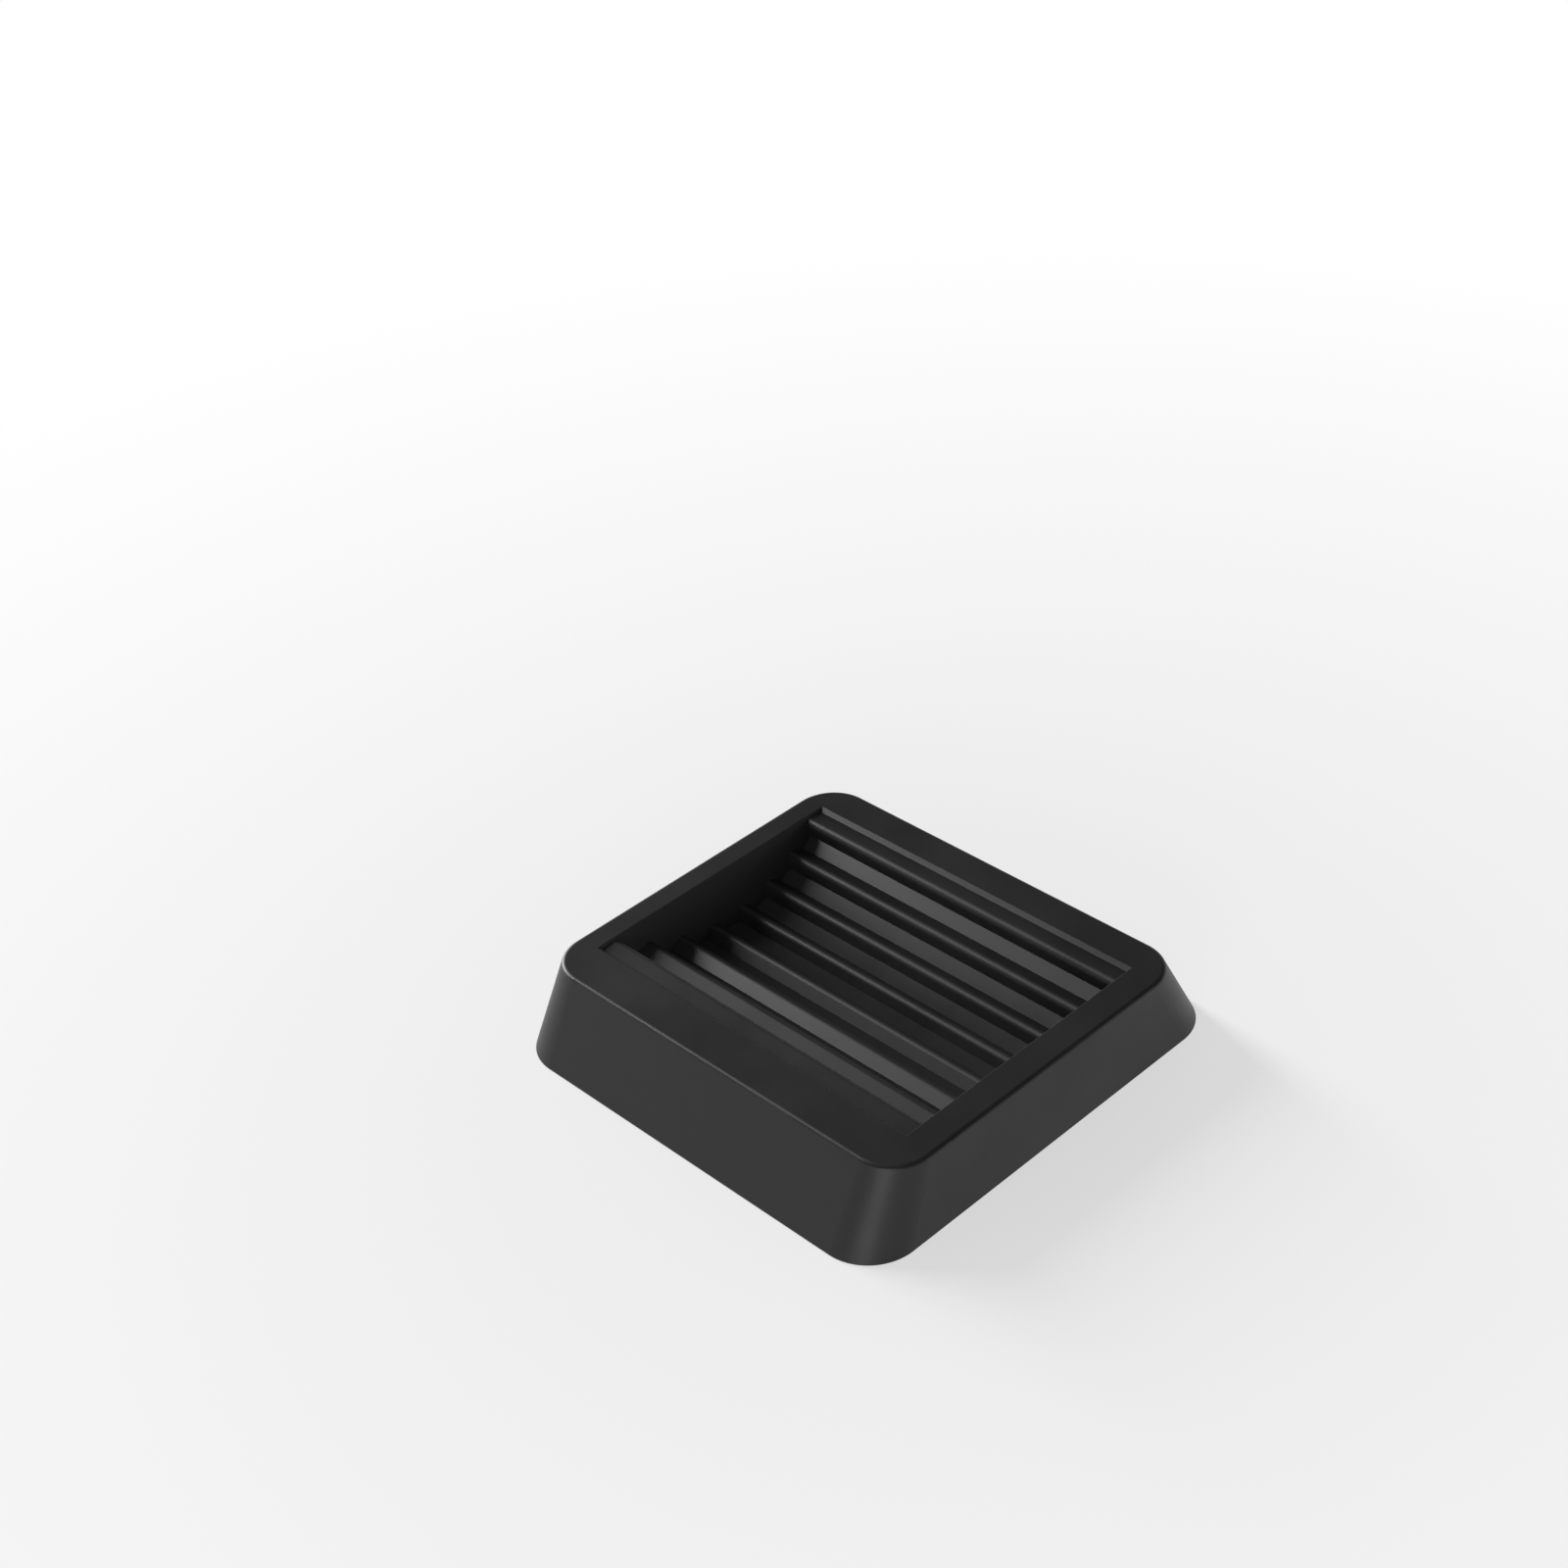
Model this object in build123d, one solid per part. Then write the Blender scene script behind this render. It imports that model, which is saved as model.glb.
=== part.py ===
from build123d import *
import math
import os

# A moulded rubber castor cup: a low block with leaning sides and a ribbed, concave trough for the wheel.
# Origin at the middle of the underside, ribs along X, +Z up. Lengths in millimetres, angles in degrees.

# Outer block
BASE_WIDTH = 76.0            # X, along the ribs
BASE_DEPTH = 76.0            # Y, across the ribs
HEIGHT = 13.3
END_DRAFT = 5.5              # lean of the two end faces, from the vertical
SIDE_DRAFT = 28.0            # lean of the front and back faces, from the vertical
BASE_CORNER_RADIUS = 8.3
TOP_CORNER_RADIUS = 6.8
TOP_EDGE_RADIUS = 0.7        # rounding round the outside of the rim
BASE_EDGE_RADIUS = 0.2       # rounding round the underside

# Trough: part of a cylinder that lies along X, closed by two leaning end walls
TROUGH_RADIUS = 39.1
TROUGH_DEPTH = 8.5           # rim to the lowest groove
TROUGH_OFFSET_Y = 0.75       # middle of the trough, behind the middle of the block
RIM_LEFT = 4.1               # flat rim at the -X end of the trough
RIM_RIGHT = 5.2              # flat rim at the +X end of the trough
END_WALL_DRAFT = 20.0        # lean of the trough's end walls, from the vertical
MOUTH_EDGE_RADIUS = 0.2      # rounding of the rim's inner edges

# Ribs: rounded ridges along X, one after another round the trough's arc
RIB_PITCH_ANGLE = 9.57
RIB_HEIGHT = 1.75
RIB_INNER_RUN = 1.7          # crest to foot on the steeper side, towards the middle of the trough
RIB_OUTER_RUN = 2.05         # crest to foot on the side towards the rim, for the two middle ribs
RIB_OUTER_GROWTH = 0.15      # how much longer that side is on each rib farther out
RIB_NOSE_RADIUS = 1.1

# Worked out from the sizes above
top_width = BASE_WIDTH - 2 * HEIGHT * math.tan(math.radians(END_DRAFT))
top_depth = BASE_DEPTH - 2 * HEIGHT * math.tan(math.radians(SIDE_DRAFT))
trough_left = RIM_LEFT - top_width / 2
trough_right = top_width / 2 - RIM_RIGHT
axis_height = HEIGHT - TROUGH_DEPTH + TROUGH_RADIUS
mouth_angle = math.degrees(math.acos((axis_height - HEIGHT) / TROUGH_RADIUS))
outer_foot_angle = math.degrees(RIB_OUTER_RUN / TROUGH_RADIUS)
rib_step_angle = RIB_PITCH_ANGLE + math.degrees(RIB_OUTER_GROWTH / TROUGH_RADIUS)
ribs_each_side = 1 + math.floor((mouth_angle - outer_foot_angle - RIB_PITCH_ANGLE / 2) / rib_step_angle)
clear_above = TROUGH_DEPTH   # how far the trough's cutting form stands above the rim


def outer_block():
    """Rounded rectangle at the base ruled to a smaller one at the rim, with its edges rounded."""
    base = RectangleRounded(BASE_WIDTH, BASE_DEPTH, BASE_CORNER_RADIUS)
    rim = Pos(0, 0, HEIGHT) * RectangleRounded(top_width, top_depth, TOP_CORNER_RADIUS)
    block = loft([base, rim], ruled=True)
    block = fillet(block.faces().sort_by(Axis.Z)[-1].edges(), TOP_EDGE_RADIUS)
    return fillet(block.faces().sort_by(Axis.Z)[0].edges(), BASE_EDGE_RADIUS)


def arc_point(angle, along=0, inward=0):
    """Point of the trough's section at an angle from straight down, moved along and off the arc."""
    turn = math.radians(angle)
    reach = TROUGH_RADIUS - inward
    return (
        TROUGH_OFFSET_Y + reach * math.sin(turn) + along * math.cos(turn),
        axis_height - reach * math.cos(turn) + along * math.sin(turn),
    )


def land_arc(start, end):
    """Arc of the bare trough between two angles."""
    return ThreePointArc(arc_point(start), arc_point((start + end) / 2), arc_point(end))


def rib_side(run):
    """Angle from a rib's crest to its foot, and where its straight flank touches the round nose."""
    foot_angle = math.asin(run / TROUGH_RADIUS)
    nose_centre = RIB_HEIGHT - RIB_NOSE_RADIUS
    rise = nose_centre - TROUGH_RADIUS * (1 - math.cos(foot_angle))
    slope = math.atan2(rise, run) + math.asin(RIB_NOSE_RADIUS / math.hypot(run, rise))
    touch_along = RIB_NOSE_RADIUS * math.sin(slope)
    touch_inward = nose_centre + RIB_NOSE_RADIUS * math.cos(slope)
    return math.degrees(foot_angle), touch_along, touch_inward


def trough_section():
    """Closed section of the trough across the ribs, carried on above the rim."""
    rise_angle = math.degrees(math.acos((axis_height - HEIGHT - clear_above) / TROUGH_RADIUS))
    inner = rib_side(RIB_INNER_RUN)
    edges = []
    land_start = -rise_angle
    for step in range(-ribs_each_side, ribs_each_side):
        place = step + 1 / 2
        crest = place * RIB_PITCH_ANGLE
        outer = rib_side(RIB_OUTER_RUN + RIB_OUTER_GROWTH * (abs(place) - 1 / 2))
        front, back = (outer, inner) if crest < 0 else (inner, outer)
        front_foot, back_foot = crest - front[0], crest + back[0]
        front_touch, back_touch = arc_point(crest, -front[1], front[2]), arc_point(crest, back[1], back[2])
        edges.append(land_arc(land_start, front_foot))
        edges.append(Line(arc_point(front_foot), front_touch))
        edges.append(ThreePointArc(front_touch, arc_point(crest, 0, RIB_HEIGHT), back_touch))
        edges.append(Line(back_touch, arc_point(back_foot)))
        land_start = back_foot
    edges.append(land_arc(land_start, rise_angle))
    edges.append(Line(arc_point(rise_angle), arc_point(-rise_angle)))
    return make_face(edges)


def trough_form():
    """The ribbed section carried along X, trimmed by the two leaning end walls."""
    lean = math.tan(math.radians(END_WALL_DRAFT))
    drop = TROUGH_DEPTH + RIB_HEIGHT
    low = HEIGHT - drop
    high = HEIGHT + clear_above
    ends = Polyline(
        (trough_left + lean * drop, low),
        (trough_right - lean * drop, low),
        (trough_right + lean * clear_above, high),
        (trough_left - lean * clear_above, high),
        close=True,
    )
    ribbed = extrude(Plane.YZ * trough_section(), BASE_WIDTH, both=True)
    between_ends = extrude(Plane.XZ * make_face(ends), BASE_DEPTH, both=True)
    return ribbed & between_ends


def castor_cup():
    """The block with its trough moulded in and the rim's inner edges broken."""
    cup = outer_block() - trough_form()
    rim_face = cup.faces().filter_by(Plane.XY).sort_by(Axis.Z)[-1]
    return fillet(rim_face.inner_wires()[0].edges(), MOUTH_EDGE_RADIUS)


os.makedirs("parts", exist_ok=True)
export_step(castor_cup(), "parts/castor_cup.step")
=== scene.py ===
import math

import bpy
import numpy as np
from bpy.props import FloatProperty, FloatVectorProperty, PointerProperty
from bpy.types import Operator, Panel, PropertyGroup
from mathutils import Euler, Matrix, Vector


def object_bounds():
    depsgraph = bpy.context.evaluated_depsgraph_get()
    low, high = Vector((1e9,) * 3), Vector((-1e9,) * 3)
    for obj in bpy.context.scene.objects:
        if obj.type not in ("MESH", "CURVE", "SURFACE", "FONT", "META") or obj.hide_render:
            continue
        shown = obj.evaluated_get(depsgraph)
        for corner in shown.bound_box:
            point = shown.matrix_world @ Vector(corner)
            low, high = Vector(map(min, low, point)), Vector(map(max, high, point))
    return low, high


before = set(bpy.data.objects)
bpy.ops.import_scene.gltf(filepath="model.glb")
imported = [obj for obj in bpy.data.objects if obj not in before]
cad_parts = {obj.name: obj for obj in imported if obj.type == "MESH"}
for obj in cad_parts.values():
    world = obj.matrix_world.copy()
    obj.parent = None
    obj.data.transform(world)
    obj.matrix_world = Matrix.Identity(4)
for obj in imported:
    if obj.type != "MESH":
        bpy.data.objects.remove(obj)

bl_info = {
    "name": "Castor cup",
    "version": (1, 0, 0),
    "blender": (4, 5, 0),
    "location": "3D View > Sidebar > Castor cup",
    "description": "Finishes a moulded rubber castor cup and sets it on a plain studio floor",
    "category": "Object",
}

CUP = "castor_cup"
CAD_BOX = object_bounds()
CAD_REACH = max(CAD_BOX[1])
MILLIMETRE = 0.001
WHITE = (1.0, 1.0, 1.0, 1.0)

# Moulded skin: how the noises of the patches and of the grain are made up
PATCH_DETAIL = 4.0
PATCH_ROUGHNESS = 0.55
PATCH_LOW = 0.3
PATCH_HIGH = 0.7
GRAIN_ROUGHNESS = 0.5
COARSE_GRAIN_DETAIL = 2.0
COARSE_GRAIN_SHARE = 0.65
FINE_GRAIN_DETAIL = 1.0
FINE_GRAIN_SHARE = 0.35
FINE_GRAIN_RATIO = 2.7
RUBBER_IOR = 1.5

# Camera: width of the sensor in millimetres, and the nearest thing it sees in metres
SENSOR_WIDTH = 36.0
NEAREST_SEEN = 0.01


class RubberFinish(PropertyGroup):
    """Colour and moulded surface of the black rubber."""

    color: FloatVectorProperty(
        name="Rubber colour", description="Colour of the bare rubber",
        subtype="COLOR", size=3, min=0.0, max=1.0, default=(0.008, 0.008, 0.0081))
    bloom_color: FloatVectorProperty(
        name="Bloom colour", description="Greyer tone where wax has come to the rubber's surface",
        subtype="COLOR", size=3, min=0.0, max=1.0, default=(0.010, 0.010, 0.0101))
    bloom_size: FloatProperty(
        name="Bloom size", description="Size of the soft patches of bloom",
        unit="LENGTH", default=16.0 * MILLIMETRE)
    roughness: FloatProperty(
        name="Roughness", description="Middle of the roughness of the moulded skin",
        subtype="FACTOR", min=0.0, max=1.0, default=0.46)
    roughness_spread: FloatProperty(
        name="Roughness spread", description="How far the roughness wanders to either side",
        subtype="FACTOR", min=0.0, max=0.5, default=0.05)
    grain_size: FloatProperty(
        name="Grain size", description="Size of the fine grain that the mould leaves",
        unit="LENGTH", default=0.4 * MILLIMETRE)
    grain_depth: FloatProperty(
        name="Grain depth", description="Height of the grain from low to high",
        unit="LENGTH", default=0.006 * MILLIMETRE)


class StudioSet(PropertyGroup):
    """Floor, lamps and camera."""

    floor_color: FloatVectorProperty(
        name="Floor colour", description="Colour of the matt floor",
        subtype="COLOR", size=3, min=0.0, max=1.0, default=(0.9, 0.9, 0.9))
    floor_size: FloatProperty(
        name="Floor size", description="Side of the square floor",
        unit="LENGTH", default=3.0)
    floor_glow: FloatProperty(
        name="Floor glow", description="Share of plain white in the floor beside the cup",
        subtype="FACTOR", min=0.0, max=1.0, default=0.6)
    glow_radius: FloatProperty(
        name="Glow radius", description="Distance from the cup at which the floor is seen as plain white",
        unit="LENGTH", default=0.3)
    sky_strength: FloatProperty(
        name="Sky strength", description="Level of the even light from above",
        min=0.0, default=0.08)
    horizon_strength: FloatProperty(
        name="Horizon strength", description="Level of the even light from low down",
        min=0.0, default=1.0)
    horizon_top: FloatProperty(
        name="Horizon top", description="Height up to which the sky keeps its horizon level",
        subtype="ANGLE", default=math.radians(4.0))
    sky_start: FloatProperty(
        name="Sky start", description="Height from which the sky keeps its upper level",
        subtype="ANGLE", default=math.radians(16.0))
    key_azimuth: FloatProperty(
        name="Key azimuth", description="Side that the main lamp stands on, 0 is the front",
        subtype="ANGLE", default=math.radians(-87.5))
    key_elevation: FloatProperty(
        name="Key elevation", description="Height of the main lamp above the floor",
        subtype="ANGLE", default=math.radians(23.0))
    key_distance: FloatProperty(
        name="Key distance", description="From the cup to the main lamp",
        unit="LENGTH", default=2.0)
    key_width: FloatProperty(
        name="Key width", description="Width of the main lamp's tall face",
        unit="LENGTH", default=0.45)
    key_height: FloatProperty(
        name="Key height", description="Height of the main lamp's tall face, before its roll",
        unit="LENGTH", default=1.7)
    key_roll: FloatProperty(
        name="Key roll", description="Turn of the main lamp about its line to the cup",
        subtype="ANGLE", default=math.radians(-30.0))
    key_power: FloatProperty(
        name="Key power", description="Power of the main lamp",
        unit="POWER", default=52.0)
    top_height: FloatProperty(
        name="Top lamp height", description="Height of the overhead lamp",
        unit="LENGTH", default=1.2)
    top_size: FloatProperty(
        name="Top lamp size", description="Side of the overhead lamp's square face",
        unit="LENGTH", default=1.0)
    top_power: FloatProperty(
        name="Top lamp power", description="Power of the overhead lamp",
        unit="POWER", default=1.0)
    fill_azimuth: FloatProperty(
        name="Fill azimuth", description="Side that the low front lamp stands on, 0 is the front",
        subtype="ANGLE", default=math.radians(29.0))
    fill_elevation: FloatProperty(
        name="Fill elevation", description="Height of the low front lamp above the floor",
        subtype="ANGLE", default=math.radians(12.0))
    fill_distance: FloatProperty(
        name="Fill distance", description="From the cup to the low front lamp",
        unit="LENGTH", default=1.2)
    fill_size: FloatProperty(
        name="Fill size", description="Side of the low front lamp's square face",
        unit="LENGTH", default=0.5)
    fill_power: FloatProperty(
        name="Fill power", description="Power of the low front lamp",
        unit="POWER", default=3.2)
    view_azimuth: FloatProperty(
        name="View azimuth", description="Side that the camera stands on, 0 is the front",
        subtype="ANGLE", default=math.radians(48.01))
    view_elevation: FloatProperty(
        name="View elevation", description="How far the camera looks down",
        subtype="ANGLE", default=math.radians(34.365))
    view_roll: FloatProperty(
        name="View roll", description="Turn of the camera about its line of sight",
        subtype="ANGLE", default=math.radians(-4.654))
    view_distance: FloatProperty(
        name="View distance", description="From the camera to the point of the floor that it looks at",
        unit="LENGTH", default=0.4587)
    view_target: FloatVectorProperty(
        name="View target", description="Point of the floor in the middle of the picture",
        subtype="TRANSLATION", unit="LENGTH", size=3, default=(-0.05656, 0.03864, 0.0))
    view_lens: FloatProperty(
        name="View lens", description="Focal length in millimetres on a 36 mm wide sensor",
        min=1.0, default=60.7275)


class NodeBuilder:
    """Adds nodes and links to one node tree."""

    def __init__(self, tree):
        self.tree = tree

    def add(self, kind, **settings):
        """Adds a node with its settings."""
        node = self.tree.nodes.new(kind)
        for name, value in settings.items():
            setattr(node, name, value)
        return node

    def feed(self, socket, source):
        """Links a socket to another node's output, or sets its value."""
        if isinstance(source, bpy.types.NodeSocket):
            self.tree.links.new(source, socket)
        else:
            socket.default_value = source

    def noise(self, vector, scale, detail, roughness):
        """Adds a noise texture and gives its value."""
        node = self.add("ShaderNodeTexNoise")
        self.feed(node.inputs["Vector"], vector)
        self.feed(node.inputs["Scale"], scale)
        self.feed(node.inputs["Detail"], detail)
        self.feed(node.inputs["Roughness"], roughness)
        return node.outputs["Fac"]

    def math(self, operation, first, second):
        """Joins two values by one operation."""
        node = self.add("ShaderNodeMath", operation=operation)
        self.feed(node.inputs[0], first)
        self.feed(node.inputs[1], second)
        return node.outputs[0]

    def spread(self, value, low, high, new_low, new_high):
        """Stretches a value from one range to another and holds it there."""
        node = self.add("ShaderNodeMapRange")
        for socket, source in zip(node.inputs, (value, low, high, new_low, new_high)):
            self.feed(socket, source)
        return node.outputs[0]


def new_material(name):
    """Empty node material with its output, as a builder and the output's surface socket."""
    material = bpy.data.materials.new(name)
    material.use_nodes = True
    material.node_tree.nodes.clear()
    builder = NodeBuilder(material.node_tree)
    output = builder.add("ShaderNodeOutputMaterial")
    return material, builder, output.inputs["Surface"]


def moulded_skin_group():
    """Shader group for a moulded skin: soft patches, and a fine grain that is two noises added up."""
    group = bpy.data.node_groups.new("moulded_skin", "ShaderNodeTree")
    interface = group.interface
    interface.new_socket("Vector", in_out="INPUT", socket_type="NodeSocketVector")
    interface.new_socket("Patch Scale", in_out="INPUT", socket_type="NodeSocketFloat")
    interface.new_socket("Grain Scale", in_out="INPUT", socket_type="NodeSocketFloat")
    interface.new_socket("Patches", in_out="OUTPUT", socket_type="NodeSocketFloat")
    interface.new_socket("Grain", in_out="OUTPUT", socket_type="NodeSocketFloat")
    builder = NodeBuilder(group)
    given = builder.add("NodeGroupInput")
    result = builder.add("NodeGroupOutput")
    vector = given.outputs["Vector"]
    patches = builder.noise(vector, given.outputs["Patch Scale"], PATCH_DETAIL, PATCH_ROUGHNESS)
    coarse = builder.noise(vector, given.outputs["Grain Scale"], COARSE_GRAIN_DETAIL, GRAIN_ROUGHNESS)
    fine_scale = builder.math("MULTIPLY", given.outputs["Grain Scale"], FINE_GRAIN_RATIO)
    fine = builder.noise(vector, fine_scale, FINE_GRAIN_DETAIL, GRAIN_ROUGHNESS)
    coarse_part = builder.math("MULTIPLY", coarse, COARSE_GRAIN_SHARE)
    fine_part = builder.math("MULTIPLY", fine, FINE_GRAIN_SHARE)
    builder.feed(result.inputs["Patches"], builder.spread(patches, PATCH_LOW, PATCH_HIGH, 0.0, 1.0))
    builder.feed(result.inputs["Grain"], builder.math("ADD", coarse_part, fine_part))
    return group


def black_rubber(finish, skin):
    """Satin black rubber: patches of bloom tint it and change its gloss, and the grain is its bump."""
    material, builder, surface = new_material("black_rubber")
    place = builder.add("ShaderNodeTexCoord")
    group = builder.add("ShaderNodeGroup", node_tree=skin)
    builder.feed(group.inputs["Vector"], place.outputs["Object"])
    builder.feed(group.inputs["Patch Scale"], 1.0 / finish.bloom_size)
    builder.feed(group.inputs["Grain Scale"], 1.0 / finish.grain_size)

    tint = builder.add("ShaderNodeMix", data_type="RGBA")
    builder.feed(tint.inputs["Factor"], group.outputs["Patches"])
    builder.feed(tint.inputs["A"], (*finish.color, 1.0))
    builder.feed(tint.inputs["B"], (*finish.bloom_color, 1.0))
    smoothest = finish.roughness - finish.roughness_spread
    roughest = finish.roughness + finish.roughness_spread
    gloss = builder.spread(group.outputs["Patches"], 0.0, 1.0, smoothest, roughest)
    bump = builder.add("ShaderNodeBump")
    builder.feed(bump.inputs["Distance"], finish.grain_depth)
    builder.feed(bump.inputs["Height"], group.outputs["Grain"])

    rubber = builder.add("ShaderNodeBsdfPrincipled")
    builder.feed(rubber.inputs["Base Color"], tint.outputs["Result"])
    builder.feed(rubber.inputs["Roughness"], gloss)
    builder.feed(rubber.inputs["Normal"], bump.outputs["Normal"])
    builder.feed(rubber.inputs["IOR"], RUBBER_IOR)
    builder.feed(surface, rubber.outputs["BSDF"])
    return material


def studio_white(studio):
    """Matt pale floor that camera, mirror and glass rays see fade to plain white away from the cup."""
    material, builder, surface = new_material("studio_white")
    matt = builder.add("ShaderNodeBsdfDiffuse")
    builder.feed(matt.inputs["Color"], (*studio.floor_color, 1.0))
    white = builder.add("ShaderNodeEmission")
    builder.feed(white.inputs["Color"], WHITE)
    builder.feed(white.inputs["Strength"], 1.0)
    place = builder.add("ShaderNodeTexCoord")
    distance = builder.add("ShaderNodeVectorMath", operation="LENGTH")
    builder.feed(distance.inputs[0], place.outputs["Object"])
    glow = builder.spread(distance.outputs["Value"], CAD_REACH, studio.glow_radius, studio.floor_glow, 1.0)
    path = builder.add("ShaderNodeLightPath")
    seen = builder.math("MAXIMUM", path.outputs["Is Camera Ray"], path.outputs["Is Glossy Ray"])
    seen = builder.math("MAXIMUM", seen, path.outputs["Is Transmission Ray"])
    mix = builder.add("ShaderNodeMixShader")
    builder.feed(mix.inputs[0], builder.math("MULTIPLY", seen, glow))
    builder.feed(mix.inputs[1], matt.outputs["BSDF"])
    builder.feed(mix.inputs[2], white.outputs["Emission"])
    builder.feed(surface, mix.outputs["Shader"])
    return material


def soft_sky(studio):
    """World that is white at the horizon and dims upwards."""
    world = bpy.data.worlds.new("soft_sky")
    world.use_nodes = True
    builder = NodeBuilder(world.node_tree)
    place = builder.add("ShaderNodeTexCoord")
    parts = builder.add("ShaderNodeSeparateXYZ")
    builder.feed(parts.inputs["Vector"], place.outputs["Generated"])
    low, high = math.sin(studio.horizon_top), math.sin(studio.sky_start)
    level = builder.spread(parts.outputs["Z"], low, high, studio.horizon_strength, studio.sky_strength)
    sky = world.node_tree.nodes["Background"]
    builder.feed(sky.inputs["Color"], WHITE)
    builder.feed(sky.inputs["Strength"], level)
    return world


def direction(azimuth, elevation):
    """Unit vector from the cup towards a place at this azimuth, 0 at the front, and elevation."""
    return Vector((
        math.sin(azimuth) * math.cos(elevation),
        -math.cos(azimuth) * math.cos(elevation),
        math.sin(elevation),
    ))


def aim(back, roll):
    """Rotation that looks against a direction, turned about the line of sight from the level."""
    level = (-back).to_track_quat("-Z", "Y")
    return (level @ Euler((0.0, 0.0, roll)).to_quaternion()).to_euler()


def link(name, data):
    """New object in the scene for this data."""
    made = bpy.data.objects.new(name, data)
    bpy.context.scene.collection.objects.link(made)
    return made


def soft_lamp(name, place, width, height, power, roll=0.0):
    """Flat area lamp at a place, facing the cup and turned about its line to the cup."""
    data = bpy.data.lights.new(name, "AREA")
    data.shape = "RECTANGLE"
    data.size = width
    data.size_y = height
    data.energy = power
    lamp = link(name, data)
    lamp.location = place
    lamp.rotation_euler = aim(place, roll)


class CASTORCUP_OT_finish_cup(Operator):
    """Give the cup its black rubber finish"""

    bl_idname = "castorcup.finish_cup"
    bl_label = "Finish the cup"

    def execute(self, context):
        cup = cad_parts[CUP]
        rubber = black_rubber(context.scene.castor_cup_rubber, moulded_skin_group())
        for slot in cup.material_slots:
            slot.material = rubber
        return {"FINISHED"}


class CASTORCUP_OT_build_studio(Operator):
    """Set up the floor, the lamps and the camera"""

    bl_idname = "castorcup.build_studio"
    bl_label = "Build the studio"

    def execute(self, context):
        studio = context.scene.castor_cup_studio
        self.lay_floor(studio)
        self.place_lamps(context.scene, studio)
        self.place_camera(context.scene, studio)
        context.scene.view_settings.view_transform = "Standard"
        return {"FINISHED"}

    def lay_floor(self, studio):
        """Level square: each corner is half the floor's side along X and along Y from the origin."""
        corners = np.array([(-1.0, -1.0, 0.0), (1.0, -1.0, 0.0), (1.0, 1.0, 0.0), (-1.0, 1.0, 0.0)])
        mesh = bpy.data.meshes.new("studio_floor")
        mesh.from_pydata((corners * studio.floor_size / 2.0).tolist(), [], [(0, 1, 2, 3)])
        mesh.materials.append(studio_white(studio))
        link("studio_floor", mesh)

    def place_lamps(self, scene, studio):
        """Tall main lamp on the left, weak fill in front, weak lamp overhead, and the sky."""
        key = direction(studio.key_azimuth, studio.key_elevation) * studio.key_distance
        soft_lamp("key_lamp", key, studio.key_width, studio.key_height, studio.key_power, studio.key_roll)
        fill = direction(studio.fill_azimuth, studio.fill_elevation) * studio.fill_distance
        soft_lamp("fill_lamp", fill, studio.fill_size, studio.fill_size, studio.fill_power)
        top = Vector((0.0, 0.0, studio.top_height))
        soft_lamp("top_lamp", top, studio.top_size, studio.top_size, studio.top_power)
        scene.world = soft_sky(studio)

    def place_camera(self, scene, studio):
        """Camera that looks at a point of the floor from an azimuth, an elevation and a distance."""
        data = bpy.data.cameras.new("camera")
        data.lens = studio.view_lens
        data.sensor_width = SENSOR_WIDTH
        data.clip_start = NEAREST_SEEN
        camera = link("camera", data)
        back = direction(studio.view_azimuth, studio.view_elevation)
        camera.location = Vector(studio.view_target) + back * studio.view_distance
        camera.rotation_euler = aim(back, studio.view_roll)
        scene.camera = camera


class CASTORCUP_PT_sidebar(Panel):
    """Sidebar panel with the steps and their settings"""

    bl_idname = "CASTORCUP_PT_sidebar"
    bl_label = "Castor cup"
    bl_space_type = "VIEW_3D"
    bl_region_type = "UI"
    bl_category = "Castor cup"

    def draw(self, context):
        self.draw_step(CASTORCUP_OT_finish_cup, context.scene.castor_cup_rubber)
        self.draw_step(CASTORCUP_OT_build_studio, context.scene.castor_cup_studio)

    def draw_step(self, operator, settings):
        """Button of one operator, with the settings that it uses below it."""
        column = self.layout.column()
        column.operator(operator.bl_idname)
        for name in settings.bl_rna.properties.keys():
            if name not in PropertyGroup.bl_rna.properties:
                column.prop(settings, name)


CLASSES = (
    RubberFinish,
    StudioSet,
    CASTORCUP_OT_finish_cup,
    CASTORCUP_OT_build_studio,
    CASTORCUP_PT_sidebar,
)


def register():
    for cls in CLASSES:
        bpy.utils.register_class(cls)
    bpy.types.Scene.castor_cup_rubber = PointerProperty(type=RubberFinish)
    bpy.types.Scene.castor_cup_studio = PointerProperty(type=StudioSet)


def unregister():
    del bpy.types.Scene.castor_cup_studio
    del bpy.types.Scene.castor_cup_rubber
    for cls in reversed(CLASSES):
        bpy.utils.unregister_class(cls)


def main():
    register()
    bpy.ops.castorcup.finish_cup()
    bpy.ops.castorcup.build_studio()


if __name__ == "__main__":
    main()
